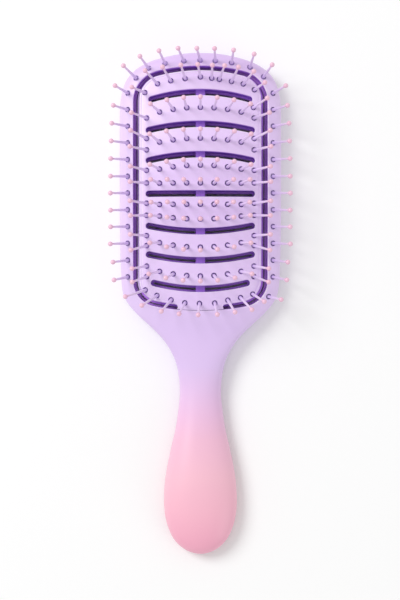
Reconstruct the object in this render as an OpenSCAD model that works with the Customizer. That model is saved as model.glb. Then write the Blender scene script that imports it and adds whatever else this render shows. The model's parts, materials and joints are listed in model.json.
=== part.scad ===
// Vented detangling brush lying on its back, pins up.
// X runs across the head, Y from the handle to the head, Z up from the back's rest face.
// Lengths are in millimetres.

/* [Outline] */
// Length from the top of the head to the end of the handle
overall_l = 248; // [225:1:275]
// Length of the handle below the head's shoulders
handle_l = 118; // [106:1:130]
// Width of the head
head_w = 80; // [76:1:88]
// Width of the neck, where the handle is slimmest
neck_w = 20.4; // [17:0.2:25]
// Width of the grip at its widest
grip_w = 36; // [31:0.5:42]

/* [Head] */
// Height of the head's crown above the rest face
crown_z = 20; // [19:0.25:22]
// Radius of the crown across the head
crown_rx = 110; // [100:1:150]
// How far the crown falls from the middle of the head to its ends
crown_fall = 5.3; // [3.6:0.1:6]
// Width of the rim beside the panel
rim_w = 7; // [6.6:0.1:8]
// Width of the rim above the panel
rim_top_w = 7.2; // [6.6:0.1:9]
// Height of the face where the front and back mouldings meet
part_z = 5; // [4.5:0.1:5.5]

/* [Panel] */
// Width of the slot beside the panel
side_slot_w = 3.05; // [2.6:0.05:3.4]
// Width of the slot above and below the panel
end_slot_w = 2.3; // [2:0.05:2.8]
// Width of a vent
vent_w = 3.1; // [2.6:0.05:3.4]
// Thickness of the skin over the pin strips
skin = 2; // [1.6:0.1:2.4]
// Thickness of the walls beside the vents and round the panel
wall = 1; // [0.8:0.05:1.2]
// Height of the grille's underside above the rest face
grille_z = 6; // [5.8:0.1:6.4]
// Thickness of the grille
grille_t = 2; // [1.6:0.1:2.2]
// Width of a vent where it leaves through the grille
grille_vent_w = 1; // [0.8:0.1:2]
// How far the grille stands out past the skin
grille_lip = 1.1; // [0.6:0.05:1.2]
// Width of the bridge between the ends of the slot
bridge_w = 22.2; // [20:0.1:24]
// Width of the spine
spine_w = 4.6; // [3.6:0.1:5.2]
// Depth of the spine's top under the crown
spine_drop = 4.9; // [4.8:0.1:5.4]

/* [Pins] */
// Length of a pin from the skin to the middle of its ball
pin_l = 16.3; // [13:0.1:19]
// Diameter of a pin at its root
pin_root_d = 1.7; // [1.4:0.05:1.8]
// Diameter of a pin under its ball
pin_tip_d = 0.9; // [0.7:0.05:1.1]
// Diameter of a ball tip
ball_d = 2.4; // [2:0.1:2.8]
// Diameter of the clearance hole round a pin
hole_d = 2.75; // [2.4:0.05:2.9]
// Thickness of a pin strip
strip_t = 2.5; // [2:0.1:2.6]
// Spacing of the pins along a row
row_gap = 6.65; // [6.2:0.05:6.8]

/* [Hinge] */
// Diameter of the bead that the panel swings on
bead_d = 3.4; // [3:0.1:3.6]
// Length of the bead
bead_l = 19; // [16:0.5:19.4]
// Height of the bead's axis
bead_z = 11; // [10.8:0.1:11.2]
// Thickness of the neck that carries the bead
bead_neck_t = 1.8; // [1.4:0.1:2]
// Width of the return leaf
leaf_w = 4.6; // [3.6:0.1:5]
// Thickness of the return leaf
leaf_t = 0.8; // [0.6:0.05:0.85]

/* [Handle] */
// Height of the neck's front
neck_top = 12.6; // [12:0.1:14.5]
// Height of the grip's front
grip_top = 15.5; // [14:0.1:18]
// How far the neck's back lies above the rest face
neck_lift = 1; // [0.4:0.1:1.4]
// Diameter of the pegs that locate the two mouldings
peg_d = 3; // [2.4:0.1:3.4]

/* [Hidden] */

lilac = [0.87, 0.77, 0.95];
violet = [0.62, 0.47, 0.82];
shaft_lilac = [0.82, 0.72, 0.93];
ball_pink = [0.98, 0.75, 0.80];

// Clearances and cuts
fit_gap = 0.15;
seam_gap = 0.25;
seam_top_gap = 0.15;
bead_gap = 0.1;
ball_gap = 0.03;
press_gap = 0.05;
swing_gap = 0.45;
overrun = 1;
slab_reach = 30;
round_fn = 48;
ball_fn = 28;
crown_fn = 240;
arc_steps = 14;
curve_steps = 16;

// Places along the brush
head_l = overall_l - handle_l;
head_top = overall_l / 2;
handle_end = -overall_l / 2;
shoulder_y = handle_end + handle_l;
head_mid = shoulder_y + head_l / 2;
crown_ry = (pow(head_l / 2, 2) + pow(crown_fall, 2)) / (2 * crown_fall);
seam_share = 0.0215;
seam_y = shoulder_y + seam_share * head_l;
neck_share = 0.322;
neck_y = shoulder_y - neck_share * handle_l;
grip_share = 0.737;
grip_y = shoulder_y - grip_share * handle_l;
nose_l = grip_y - handle_end;

// Half outline of the head, as shares of its half width and of its length down from the top
head_shares = [[0, 0], [0.25, 0.0054], [0.475, 0.019], [0.675, 0.039], [0.825, 0.068], [0.92, 0.104],
    [0.975, 0.154], [0.9975, 0.215], [1, 0.354], [1, 0.523], [0.9975, 0.677], [0.985, 0.823],
    [0.965, 0.904], [0.91, 0.946], [0.7875, 0.9915]];
// Half outline of the shoulders, as shares of the way out from the neck's width to the head's, and of the handle
shoulder_shares = [[0.497, 0.0415], [0.295, 0.093], [0.161, 0.142], [0.067, 0.195], [0.017, 0.2585], [0, 0.322]];
// Half outline of the swell, as shares of the way out from the neck's width to the grip's, and of the handle
swell_shares = [[0.09, 0.39], [0.282, 0.4746], [0.59, 0.5636], [0.859, 0.6525], [1, 0.737]];
// Half outline of the nose, as shares of the grip's half width and of the handle
nose_shares = [[0.994, 0.8136], [0.9055, 0.881], [0.717, 0.9407], [0.4055, 0.983], [0, 1]];

function handle_place(share) = shoulder_y - share * handle_l;
half_outline = concat(
    [for (s = head_shares) [s[0] * head_w / 2, head_top - s[1] * head_l]],
    [for (s = shoulder_shares) [neck_w / 2 + s[0] * (head_w - neck_w) / 2, handle_place(s[1])]],
    [for (s = swell_shares) [neck_w / 2 + s[0] * (grip_w - neck_w) / 2, handle_place(s[1])]],
    [for (s = nose_shares) [s[0] * grip_w / 2, handle_place(s[1])]]);

// Smooth curve through four neighbouring points, from the second to the third
function through(a, b, c, d, t) =
    (2 * b + (c - a) * t + (2 * a - 5 * b + 4 * c - d) * t * t + (3 * b - a - 3 * c + d) * t * t * t) / 2;
function across(p) = [-p[0], p[1]];
function outline_point(i) =
    i < 0 ? across(half_outline[-i]) :
    i >= len(half_outline) ? across(half_outline[2 * len(half_outline) - 2 - i]) : half_outline[i];
station_steps = 2;
stations = [for (i = [0 : len(half_outline) - 2]) for (k = [0 : station_steps - 1])
    if (i + k > 0) through(outline_point(i - 1), outline_point(i), outline_point(i + 1), outline_point(i + 2),
        k / station_steps)];

// Height of the crown, a torus, at a place on the head
function crown_at(x, y) = crown_z - crown_ry
    + sqrt(pow(crown_ry - crown_rx + sqrt(crown_rx * crown_rx - x * x), 2) - pow(y - head_mid, 2));
function side_fall(x) = crown_rx - sqrt(crown_rx * crown_rx - x * x);
function ease(t) = t <= 0 ? 0 : t >= 1 ? 1 : t * t * (3 - 2 * t);

// Height of the front along the middle of the handle
seam_rise = (head_mid - seam_y) / sqrt(crown_ry * crown_ry - pow(head_mid - seam_y, 2));
function shoulder_top(u) = crown_at(0, seam_y) * (1 + 2 * u) * pow(1 - u, 2)
    - seam_rise * (seam_y - neck_y) * u * pow(1 - u, 2) + neck_top * u * u * (3 - 2 * u);
function handle_top(y) = y > neck_y ? shoulder_top((seam_y - y) / (seam_y - neck_y)) :
    neck_top + (grip_top - neck_top) * ease((neck_y - y) / (neck_y - grip_y));
function front_at(x, y) = y >= seam_y ? crown_at(x, y) : handle_top(y) - side_fall(x);

// Depth of the back under the parting face, past the rest face on the head, where it is cut flat
flat_extra = 0.9;
function back_depth(y) = y > neck_y ?
    part_z + flat_extra - (flat_extra + neck_lift) * ease((seam_y - y) / (seam_y - neck_y)) :
    part_z - neck_lift * (1 - ease((neck_y - y) / (neck_y - grip_y)));

// Roundness of the section: high is a flat top with tight edges, two is an ellipse
head_power = 6;
grip_power = 2.2;
function power_at(y) = head_power + (grip_power - head_power) * ease((shoulder_y + end_slot_w - y)
    / (shoulder_y + end_slot_w - neck_y));
function bulge(share, power) = pow(max(0, 1 - pow(min(1, abs(share)), power)), 1 / power);
function end_bulge(y) = bulge(max(0, 1 - (head_top - y) / (head_w / 2)), head_power)
    * bulge(max(0, 1 - (y - handle_end) / nose_l), grip_power);

// One moulded half, as rings across the brush joined into a skin with a flat parting face
ring_steps = 28;
function front_point(s, u) = [s[0] * u, s[1],
    part_z + (front_at(s[0] * u, s[1]) - part_z) * bulge(u, power_at(s[1])) * end_bulge(s[1])];
function back_point(s, u) = [s[0] * u, s[1],
    max(0, part_z - back_depth(s[1]) * bulge(u, power_at(s[1])) * end_bulge(s[1]))];
function ring_start(i) = 1 + i * (ring_steps + 1);
module moulded_half(front) {
    last = len(stations) - 1;
    points = concat([[0, head_top, part_z]],
        [for (s = stations) for (j = [0 : ring_steps]) let (u = sin(-90 + 180 * j / ring_steps))
            front ? front_point(s, u) : back_point(s, u)],
        [[0, handle_end, part_z]]);
    tail = len(points) - 1;
    first_fan = [for (j = [0 : ring_steps - 1]) [0, ring_start(0) + j + 1, ring_start(0) + j]];
    skin_faces = [for (i = [0 : last - 1]) for (j = [0 : ring_steps - 1])
        let (a = ring_start(i) + j, b = ring_start(i + 1) + j) each [[a, a + 1, b + 1], [a, b + 1, b]]];
    last_fan = [for (j = [0 : ring_steps - 1]) [tail, ring_start(last) + j, ring_start(last) + j + 1]];
    flat_faces = [for (i = [0 : last - 1]) let (a = ring_start(i), b = ring_start(i + 1))
        each [[a, b, b + ring_steps], [a, b + ring_steps, a + ring_steps]]];
    flat_ends = [[0, ring_start(0), ring_start(0) + ring_steps],
        [tail, ring_start(last) + ring_steps, ring_start(last)]];
    faces = concat(first_fan, skin_faces, last_fan, flat_faces, flat_ends);
    polyhedron(points, front ? faces : [for (f = faces) [f[0], f[2], f[1]]]);
}

// Outline with straight sides, arched ends and round corners
function arc(centre, r, from, to) = [for (k = [0 : arc_steps])
    centre + r * [cos(from + (to - from) * k / arc_steps), sin(from + (to - from) * k / arc_steps)]];
function corner_y(w, r, corner) = sqrt(pow(r - corner, 2) - pow(w - corner, 2));
function arched(w, low, high, top_r, low_r, top_corner, low_corner) =
    let (top_y = corner_y(w, top_r, top_corner), top_a = atan2(top_y, w - top_corner),
        low_y = corner_y(w, low_r, low_corner), low_a = atan2(low_y, w - low_corner),
        top_c = [0, high - top_r], low_c = [0, low + low_r])
    concat(arc(top_c + [w - top_corner, top_y], top_corner, 0, top_a), arc(top_c, top_r, top_a, 180 - top_a),
        arc(top_c + [top_corner - w, top_y], top_corner, 180 - top_a, 180),
        arc(low_c + [low_corner - w, -low_y], low_corner, 180, 180 + low_a),
        arc(low_c, low_r, 180 + low_a, 360 - low_a),
        arc(low_c + [w - low_corner, -low_y], low_corner, 360 - low_a, 360));

panel_hw = head_w / 2 - rim_w - side_slot_w;
panel_top = head_top - rim_top_w - end_slot_w;
panel_low = seam_y + end_slot_w;
panel_l = panel_top - panel_low;
window_hw = panel_hw + side_slot_w;
top_bow_share = 2.95;
low_bow_share = 3.5;
top_corner_share = 0.4;
low_corner_share = 0.35;
function panel_outline(o) = arched(panel_hw + o, panel_low - o, panel_top + o,
    panel_hw * top_bow_share + o, panel_hw * low_bow_share + o,
    panel_hw * top_corner_share + o, panel_hw * low_corner_share + o);
function window_outline(o) = arched(window_hw + o, seam_y - o, panel_top + end_slot_w + o,
    window_hw * top_bow_share + o, window_hw * low_bow_share + o,
    panel_hw * top_corner_share + side_slot_w + o, panel_hw * low_corner_share + end_slot_w + o);

// The crown as a solid, lowered along its own normal
module crown(drop) {
    half = asin((head_l / 2 + overrun * slab_reach) / (crown_ry - slab_reach));
    translate([0, head_mid, crown_z - crown_ry])
        rotate([0, -90, 0])
        rotate([0, 0, -half])
        rotate_extrude(angle = 2 * half, $fn = crown_fn)
        intersection() {
            translate([crown_ry - crown_rx, 0]) circle(crown_rx - drop, $fn = crown_fn);
            translate([crown_ry - slab_reach, -head_w]) square([slab_reach, 2 * head_w]);
        }
}

// Vents: middle height, arch and half length, as shares of the panel's length and half width
vent_shares = [[0.9055, 0.1235, 0.851], [0.7695, 0.1035, 0.8915], [0.6404, 0.1035, 0.8915], [0.4749, 0, 0.8915],
    [0.3154, -0.1035, 0.8915], [0.1928, -0.11, 0.8915], [0.0722, -0.11, 0.811]];
function panel_place(share) = panel_low + share * panel_l;
function vent_reach(v) = vent_shares[v][2] * panel_hw;
function vent_y(v, x) = panel_place(vent_shares[v][0])
    - vent_shares[v][1] * panel_hw * pow(min(1, abs(x) / vent_reach(v)), 2);
function vent_slope(v, x) = atan(-2 * vent_shares[v][1] * panel_hw * x / pow(vent_reach(v), 2));
module vent_shape(v, width) {
    run = vent_reach(v) - vent_w / 2;
    xs = [for (k = [1 : curve_steps - 1]) run * (2 * k / curve_steps - 1)];
    upper = [for (x = xs) let (a = vent_slope(v, x)) [x, vent_y(v, x)] + width / 2 * [-sin(a), cos(a)]];
    lower = [for (x = xs) let (a = vent_slope(v, x)) [x, vent_y(v, x)] - width / 2 * [-sin(a), cos(a)]];
    tilt = vent_slope(v, run);
    polygon(concat(upper, arc([run, vent_y(v, run)], width / 2, 90 + tilt, tilt - 90),
        [for (k = [len(lower) - 1 : -1 : 0]) lower[k]],
        arc([-run, vent_y(v, run)], width / 2, -90 - tilt, -270 - tilt)));
}

// The space under one rung of the panel, drawn in by an inset from the vents and the panel's edge
rungs = 8;
bridge_hw = (bridge_w + end_slot_w) / 2;
function slot_mid_y(x) = (panel_low + seam_y) / 2 + x * x / (window_hw * low_bow_share + panel_hw * low_bow_share);
module rung_shape(r, inset) {
    xs = [for (k = [0 : curve_steps]) window_hw * (2 * k / curve_steps - 1)];
    upper = [for (x = xs) [x, r == 0 ? head_top : vent_y(r - 1, x) - vent_w / 2 - inset]];
    lower = [for (x = xs) [x, r == rungs - 1 ? shoulder_y : vent_y(r, x) + vent_w / 2 + inset]];
    intersection() {
        union() {
            polygon(panel_outline(-inset));
            if (r == rungs - 1)
                translate([-bead_l / 2 + inset, seam_y + inset]) square([bead_l - 2 * inset, end_slot_w + wall]);
        }
        polygon(concat(upper, [for (k = [curve_steps : -1 : 0]) lower[k]]));
    }
}

// A pin is its root across and along the brush, and its lean each way for each unit of height.
// Rows of seven pins on the panel: rung, height in the middle and arch over the row, as shares of the panel,
// then the outermost pins' lean across, the middle pin's lean along, and the change in that towards the ends
row_shares = [[1, 0.8401, 0.0718, 0.26, 0.19, -0.06], [2, 0.7088, 0.0601, 0.28, 0.17, -0.02],
    [3, 0.5945, 0.0618, 0.27, 0.09, -0.03], [3, 0.519, 0, 0.24, 0.03, 0.01], [4, 0.429, 0, 0.23, 0.01, 0],
    [4, 0.3666, -0.0518, 0.25, -0.04, 0.01], [5, 0.2483, -0.0751, 0.27, -0.12, 0.08],
    [6, 0.1265, -0.0768, 0.31, -0.165, 0.07]];
// Pins beside the vents' ends: rung, height as a share of the panel's length, lean across, lean along
end_shares = [[1, 0.7972, 0.46, 0.06], [2, 0.7097, 0.5, 0.17], [2, 0.6612, 0.52, 0.02], [3, 0.5745, 0.5, 0.05],
    [3, 0.5208, 0.51, -0.03], [4, 0.435, 0.51, 0.02], [4, 0.3839, 0.5, -0.06], [5, 0.2981, 0.5, 0],
    [5, 0.2556, 0.49, -0.18], [6, 0.169, 0.44, -0.1], [6, 0.1243, 0.44, -0.19]];
end_pin_share = 0.88;
// Pins of the first and last rungs, and one beside the first vent: rung, place across as a share of the panel's
// half width, height as a share of its length, lean across, lean along
odd_shares = [[0, -0.911, 0.9069, -0.38, 0.04], [0, -0.702, 0.9432, -0.38, 0.29], [0, -0.485, 0.9551, -0.24, 0.29],
    [0, -0.25, 0.9634, -0.12, 0.27], [0, 0, 0.9704, -0.08, 0.23], [0, 0.185, 0.965, 0.01, 0.25],
    [0, 0.31, 0.9605, 0.15, 0.28], [0, 0.508, 0.9523, 0.2, 0.31], [0, 0.702, 0.9427, 0.31, 0.26],
    [0, 0.884, 0.9188, 0.29, 0.09], [1, 0.868, 0.8423, 0.41, 0.18],
    [7, -0.905, 0.0676, -0.7, -0.25], [7, -0.714, 0.0439, -0.49, -0.34], [7, -0.481, 0.0252, -0.3, -0.37],
    [7, -0.255, 0.0124, -0.17, -0.34], [7, -0.015, 0.0099, -0.04, -0.35], [7, 0.235, 0.0116, 0.07, -0.35],
    [7, 0.45, 0.0239, 0.21, -0.38], [7, 0.66, 0.0345, 0.35, -0.4], [7, 0.86, 0.05, 0.33, -0.24]];
row_half = 3;

function row_y(row, x) = panel_place(row[1]) - row[2] * panel_hw * pow(x / (row_half * row_gap), 2);
function strip_pins(r) = concat(
    [for (s = odd_shares) if (s[0] == r) [s[1] * panel_hw, panel_place(s[2]), s[3], s[4]]],
    [for (row = row_shares) if (row[0] == r) for (k = [-row_half : row_half])
        let (x = k * row_gap, out = k / row_half) [x, row_y(row, x), row[3] * out, row[4] + row[5] * out * out]],
    [for (s = end_shares) if (s[0] == r) for (side = [-1, 1])
        [side * end_pin_share * panel_hw, panel_place(s[1]), side * s[2], s[3]]]);

// Rim pins stand on a line round the window. Those of the arch and the corner: place across as a share of the
// line's half width, lean across, lean along
rim_wall_share = 0.7;
rim_wall = rim_wall_share * wall;
rim_strip_w = 2.8;
rim_line_share = 0.679;
rim_line = rim_wall + fit_gap + rim_line_share * rim_strip_w;
rim_hw = window_hw + rim_line;
rim_arch_shares = [[-0.884, -0.38, 0.27], [-0.712, -0.24, 0.23], [-0.484, -0.17, 0.25], [-0.226, -0.17, 0.24],
    [-0.004, -0.1, 0.21], [0.204, -0.03, 0.22], [0.428, 0.04, 0.24], [0.68, 0.1, 0.26], [0.869, 0.23, 0.24]];
rim_corner_shares = [[0.94, 0.36, -0.1]];
// Leans across and along of the pins down each side, from the top
rim_side_shares = [[0.36, 0.11], [0.42, 0.02], [0.48, -0.01], [0.5, -0.035], [0.52, -0.055], [0.525, -0.075],
    [0.535, -0.07], [0.525, -0.07], [0.525, -0.055], [0.54, -0.055], [0.435, -0.09], [0.4, -0.115]];
rim_side_high_share = 0.908;
rim_side_low_share = 0.124;
function arch_y(x) = let (r = window_hw * top_bow_share + rim_line,
        corner = panel_hw * top_corner_share + side_slot_w + rim_line,
        base = panel_top + end_slot_w + rim_line - r, cy = corner_y(rim_hw, r, corner))
    abs(x) < (rim_hw - corner) * r / (r - corner) ? base + sqrt(r * r - x * x) :
        base + cy + sqrt(corner * corner - pow(abs(x) - rim_hw + corner, 2));
function low_corner_y(x) = let (r = window_hw * low_bow_share + rim_line,
        corner = panel_hw * low_corner_share + end_slot_w + rim_line)
    seam_y - rim_line + r - corner_y(rim_hw, r, corner) - sqrt(corner * corner - pow(x - rim_hw + corner, 2));
rim_pins = concat(
    [for (s = rim_arch_shares) [s[0] * rim_hw, arch_y(s[0] * rim_hw), s[1], s[2]]],
    [for (k = [0 : len(rim_side_shares) - 1]) for (side = [-1, 1])
        [side * rim_hw, panel_place(rim_side_high_share + (rim_side_low_share - rim_side_high_share)
            * k / (len(rim_side_shares) - 1)), side * rim_side_shares[k][0], rim_side_shares[k][1]]],
    [for (s = rim_corner_shares) [s[0] * rim_hw, low_corner_y(s[0] * rim_hw), s[1], s[2]]]);

// A frame on a pin's root with Z along the pin, and what stands in it from a start below the root
module on_pin(p, sink) {
    translate([p[0], p[1], crown_at(p[0], p[1]) - sink])
        rotate([0, atan(norm([p[2], p[3]])), atan2(p[3], p[2])])
        children();
}
module shafts(pins, sink, start) {
    for (p = pins)
        on_pin(p, sink)
            translate([0, 0, -start])
            cylinder(d1 = pin_root_d, d2 = pin_tip_d, h = pin_l + start, $fn = ball_fn);
}
module balls(pins, sink, start) {
    for (p = pins)
        on_pin(p, sink) difference() {
            translate([0, 0, pin_l]) sphere(d = ball_d, $fn = ball_fn);
            translate([0, 0, ball_gap - start])
                cylinder(d1 = pin_root_d + 2 * ball_gap, d2 = pin_tip_d + 2 * ball_gap, h = pin_l + start,
                    $fn = ball_fn);
        }
}
module clearance_holes(pins, sink, start) {
    for (p = pins)
        on_pin(p, sink)
            translate([0, 0, -start - fit_gap])
            cylinder(d = hole_d, h = start + fit_gap + hole_d, $fn = round_fn);
}

// Depths that the strips and the hinge share
grille_top = grille_z + grille_t;
strip_drop = skin + fit_gap;
rib_drop = strip_drop + strip_t + press_gap;
rim_sink = 1;
rim_skin = 1.2;
rim_drop = rim_sink + rim_skin;
root_grip = 1.3;
rim_root_grip = 0.75;
root_start = skin + fit_gap + root_grip;
rim_start = rim_skin + fit_gap + rim_root_grip;
socket_wall = 0.775;
bead_y = seam_y - socket_wall - bead_gap - bead_d / 2;
neck_clear = bead_neck_t / 2 + swing_gap;
leaf_z = grille_top + seam_gap;
leaf_tail_share = 1.85;
leaf_low_y = bead_y - leaf_tail_share * bead_d;
leaf_reach_share = 1.54;
leaf_high_y = panel_low + leaf_reach_share * spine_w;
nose_gap = 0.6;
pad_share = 1.1;
pad_l = pad_share * bead_d;

// Pegs between the mouldings, and the hollow in the handle, as shares of the handle and the outline
peg_shares = [[0, 0.2], [0, 0.47], [0, 0.83]];
shoulder_peg_share = 0.53;
pegs = concat([for (s = peg_shares) [0, handle_place(s[1])]],
    [for (side = [-1, 1]) [side * shoulder_peg_share * head_w / 2, shoulder_y]]);
hollow_share = 0.6;
hollow_high_share = 0.07;
hollow_low_share = 0.93;
front_hollow_share = 0.58;
back_hollow_share = 0.4;
module hollow_shape() {
    side = [for (s = stations) if (s[1] < handle_place(hollow_high_share) && s[1] > handle_place(hollow_low_share))
        [s[0] * hollow_share, s[1]]];
    polygon(concat(side, [for (k = [len(side) - 1 : -1 : 0]) across(side[k])]));
}
front_hollow = (neck_top - part_z) * front_hollow_share;
back_hollow = (part_z - neck_lift) * back_hollow_share;
boss_wall = 1.4;

// A bar that follows the rim round the window, as rings of four corners, with its top a drop under the crown
bar_side_steps = 12;
bar_low_angle = -42;
bar_end_turn = 1;
function bar_half(o, low) =
    let (r = window_hw * top_bow_share, corner = panel_hw * top_corner_share + side_slot_w,
        cy = corner_y(window_hw, r, corner), high = [window_hw - corner, panel_top + end_slot_w - r + cy],
        low_r = window_hw * low_bow_share, low_corner = panel_hw * low_corner_share + end_slot_w,
        below = [window_hw - low_corner, seam_y + low_r - corner_y(window_hw, low_r, low_corner)])
    concat(arc(below, low_corner + o, low, 0),
        [for (k = [1 : bar_side_steps - 1]) [window_hw + o, below[1] + (high[1] - below[1]) * k / bar_side_steps]],
        arc(high, corner + o, 0, atan2(cy, window_hw - corner)));
function bar_path(o, low) =
    let (half = bar_half(o, low), centre = [0, panel_top + end_slot_w - window_hw * top_bow_share],
        from_centre = half[len(half) - 1] - centre, start = atan2(from_centre[1], from_centre[0]))
    concat(half, [for (k = [1 : arc_steps - 1]) let (a = start + (180 - 2 * start) * k / arc_steps)
        centre + norm(from_centre) * [cos(a), sin(a)]], [for (k = [len(half) - 1 : -1 : 0]) across(half[k])]);
function under_crown(p, drop) = [p[0], p[1], crown_at(p[0], p[1]) - drop];
module rim_bar(inner, outer, base, drop, low) {
    a = bar_path(inner, low);
    b = bar_path(outer, low);
    last = len(a) - 1;
    points = [for (i = [0 : last])
        each [[a[i][0], a[i][1], base], [b[i][0], b[i][1], base], under_crown(b[i], drop), under_crown(a[i], drop)]];
    sides = [for (i = [0 : last - 1]) for (k = [0 : 3]) let (p = 4 * i + k, q = 4 * i + (k + 1) % 4)
        each [[p, q, q + 4], [p, q + 4, p + 4]]];
    end = 4 * last;
    polyhedron(points, concat(sides, [[0, 3, 2], [0, 2, 1], [end, end + 1, end + 2], [end, end + 2, end + 3]]));
}

module frame() {
    color(lilac) {
        difference() {
            moulded_half(true);
            translate([0, 0, part_z - overrun]) linear_extrude(slab_reach) polygon(window_outline(0));
            rim_bar(rim_wall, rim_wall + rim_strip_w + 2 * fit_gap, part_z - overrun, rim_drop,
                bar_low_angle - bar_end_turn);
            clearance_holes(rim_pins, rim_sink, rim_start);
            translate([0, 0, part_z - overrun]) linear_extrude(front_hollow + overrun) hollow_shape();
            bead_socket();
        }
        for (p = pegs) translate([p[0], p[1], part_z - peg_d]) {
            cylinder(d = peg_d, h = peg_d + overrun, $fn = round_fn);
            translate([0, 0, peg_d])
                cylinder(d = peg_d + 2 * boss_wall, h = front_hollow + overrun / 2, $fn = round_fn);
        }
    }
}

// The hole for the panel's bead, open below for the saddle and ahead for the neck, and the leaf's channel
module bead_socket() {
    length = bead_l + 2 * bead_gap;
    radius = bead_d / 2 + bead_gap;
    translate([-length / 2, bead_y, bead_z]) rotate([0, 90, 0]) cylinder(r = radius, h = length, $fn = round_fn);
    translate([-length / 2, bead_y - radius, part_z - overrun])
        cube([length, 2 * radius, bead_z - part_z + overrun]);
    translate([-length / 2, bead_y, bead_z - neck_clear])
        cube([length, seam_y - bead_y + overrun, 2 * neck_clear]);
    translate([-leaf_w / 2 - fit_gap, leaf_low_y - fit_gap, part_z - overrun])
        cube([leaf_w + 2 * fit_gap, seam_y - leaf_low_y + fit_gap + overrun,
            leaf_z + leaf_t + fit_gap - part_z + overrun]);
}

// The back's window is drawn in past the front's, so that the slot narrows with depth
side_lip = 1.3;
end_lip = 0.9;
function back_window() = arched(window_hw - side_lip, seam_y + end_lip, panel_top + end_slot_w - end_lip,
    window_hw * top_bow_share, window_hw * low_bow_share,
    panel_hw * top_corner_share + side_slot_w - side_lip, panel_hw * low_corner_share + end_slot_w - end_lip);
saddle_l = bead_l - 2 * fit_gap;
module back_shell() {
    color(lilac) {
        difference() {
            moulded_half(false);
            translate([0, 0, -overrun]) linear_extrude(part_z + 2 * overrun) polygon(back_window());
            translate([0, 0, part_z - back_hollow]) linear_extrude(back_hollow + overrun) hollow_shape();
            for (p = pegs) peg_socket(p);
        }
        for (p = pegs) difference() {
            translate([p[0], p[1], part_z - back_hollow - overrun / 2])
                cylinder(d = peg_d + 2 * boss_wall, h = back_hollow + overrun / 2, $fn = round_fn);
            peg_socket(p);
        }
        saddle();
        translate([-leaf_w / 2, leaf_low_y, part_z - back_hollow])
            cube([leaf_w, pad_l, leaf_z - part_z + back_hollow]);
    }
}
module peg_socket(p) {
    translate([p[0], p[1], part_z - peg_d - fit_gap])
        cylinder(d = peg_d + 2 * bead_gap, h = peg_d + fit_gap + overrun, $fn = round_fn);
}
module saddle() {
    half_t = bead_d / 2;
    difference() {
        translate([-saddle_l / 2, bead_y - half_t, part_z - overrun])
            cube([saddle_l, 2 * half_t, bead_z - neck_clear - part_z + overrun]);
        translate([-bead_l, bead_y, bead_z]) rotate([0, 90, 0])
            cylinder(r = half_t + bead_gap, h = 2 * bead_l, $fn = round_fn);
        translate([-leaf_w / 2 - fit_gap, bead_y - bead_d, leaf_z - fit_gap])
            cube([leaf_w + 2 * fit_gap, 2 * bead_d, bead_d]);
    }
}

module rim_strip() {
    color(shaft_lilac) {
        rim_bar(rim_wall + fit_gap, rim_wall + fit_gap + rim_strip_w, part_z, rim_drop + fit_gap, bar_low_angle);
        shafts(rim_pins, rim_sink, rim_start);
    }
}
module rim_tips() {
    color(ball_pink) balls(rim_pins, rim_sink, rim_start);
}

// The panel's skin, with its edge eased in two small steps
edge_steps = [[0, 0.45], [0.25, 0.2], [0.55, 0]];
module panel_body() {
    for (s = edge_steps) intersection() {
        translate([0, 0, grille_top]) linear_extrude(crown_z) polygon(panel_outline(-s[0]));
        crown(s[1]);
    }
    for (b = [[grille_top, seam_gap], [bead_z, seam_top_gap]]) intersection() {
        translate([0, 0, b[0]]) linear_extrude(crown_z) bridge_shape(b[1]);
        crown(0);
    }
    translate([-bead_l / 2, bead_y, bead_z - bead_neck_t / 2])
        cube([bead_l, seam_y + seam_gap + overrun - bead_y, bead_neck_t]);
    translate([-bead_l / 2, bead_y, bead_z]) rotate([0, 90, 0])
        cylinder(d = bead_d, h = bead_l, $fn = round_fn);
}
module bridge_shape(gap) {
    difference() {
        intersection() {
            polygon(window_outline(-gap));
            translate([-bridge_hw, seam_y]) square([2 * bridge_hw, end_slot_w + vent_w]);
        }
        for (side = [-1, 1])
            translate([side * bridge_hw, slot_mid_y(bridge_hw)]) circle(d = end_slot_w, $fn = round_fn);
    }
}
module spine_space(gap) {
    intersection() {
        translate([-spine_w / 2 - gap, seam_y, grille_top - gap])
            cube([spine_w + 2 * gap, panel_top - wall - seam_y, crown_z]);
        crown(spine_drop - gap);
    }
}
stake_d = 1.6;
stake_share = 0.947;
module stakes(d, low) {
    for (v = [0 : len(vent_shares) - 1]) for (side = [-1, 1])
        translate([side * stake_share * panel_hw, vent_y(v, panel_hw), low])
            cylinder(d = d, h = grille_top + overrun - low, $fn = round_fn);
}
module panel() {
    color(lilac) {
        difference() {
            panel_body();
            for (v = [0 : len(vent_shares) - 1])
                translate([0, 0, grille_top - overrun]) linear_extrude(crown_z) vent_shape(v, vent_w);
            intersection() {
                translate([0, 0, grille_top - overrun])
                    linear_extrude(crown_z) for (r = [0 : rungs - 1]) rung_shape(r, wall);
                crown(skin);
            }
            spine_space(fit_gap);
            for (r = [0 : rungs - 1]) clearance_holes(strip_pins(r), 0, root_start);
        }
        stakes(stake_d, grille_z);
    }
}

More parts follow.
